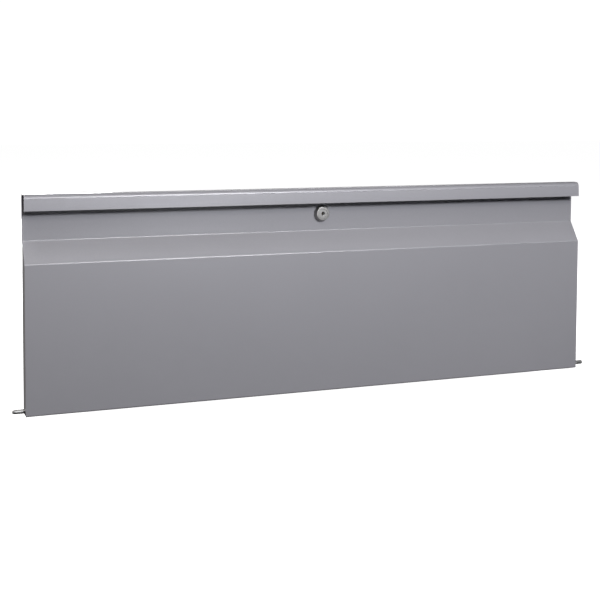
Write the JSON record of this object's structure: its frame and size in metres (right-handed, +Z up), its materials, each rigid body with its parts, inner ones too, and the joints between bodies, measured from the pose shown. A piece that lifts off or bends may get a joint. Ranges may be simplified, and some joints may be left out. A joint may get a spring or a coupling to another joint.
{
  "type": "kick plate",
  "caption": "Bent sheet-metal kick plate that drops forward on two pins at its foot, one sprung with a pull handle, and is held shut by a cam lock in its recessed finger channel.",
  "frame": {"origin": "middle of the pivot axis that the panel turns about, halfway between the two pin ends", "axes": "+X along the pivot axis to the right of someone facing the panel, -Y out of the front face, +Z up with the panel shut"},
  "size_m": [0.94, 0.046, 0.31],
  "materials": {
    "panel_paint": "satin silver-grey powder coat",
    "end_plate_paint": "satin silver-grey powder coat",
    "bracket_zinc": "zinc plated sheet",
    "pin_zinc": "zinc plated, drawn",
    "hardware_zinc": "zinc plated",
    "spring_steel": "oiled spring steel",
    "lock_chrome": "satin chrome on die casting",
    "wafer_brass": "stamped"
  },
  "bodies": {
    "right_pivot": {"right_hinge_pin": "pin_zinc", "right_pin_washer": "hardware_zinc", "right_pin_clip": "spring_steel"},
    "door": {"front_panel": "panel_paint", "end_plate_left": "end_plate_paint", "end_plate_right": "end_plate_paint", "left_pin_bracket": "bracket_zinc", "right_pin_bracket": "bracket_zinc", "left_pin_spring": "spring_steel", "lock_housing": "lock_chrome", "lock_washer": "hardware_zinc", "lock_nut": "hardware_zinc"},
    "left_pin": {"left_hinge_pin": "pin_zinc", "left_pin_washer": "hardware_zinc", "left_pin_clip": "spring_steel"},
    "lock_core": {"lock_plug": "lock_chrome", "lock_wafer_1": "wafer_brass", "lock_wafer_2": "wafer_brass", "lock_wafer_3": "wafer_brass", "lock_wafer_4": "wafer_brass", "lock_wafer_5": "wafer_brass", "stop_washer": "hardware_zinc", "lock_cam": "hardware_zinc", "cam_washer": "hardware_zinc", "cam_screw": "hardware_zinc"}
  },
  "joints": [
    {"name": "door_swing", "type": "hinge", "parent": "right_pivot", "child": "door", "pos_m": [0, 0, 0], "axis": [1, 0, 0], "range_deg": [0, 90]},
    {"name": "left_pin_retract", "type": "slide", "parent": "door", "child": "left_pin", "axis": [1, 0, 0], "range_m": [0, 0.018], "stiffness_N_per_m": 300, "springref_m": -0.012, "deforming": ["left_pin_spring"]},
    {"name": "lock_turn", "type": "hinge", "parent": "door", "child": "lock_core", "pos_m": [0, 0.0112, 0.2632], "axis": [0, 1, 0], "range_deg": [0, 90]}
  ]
}
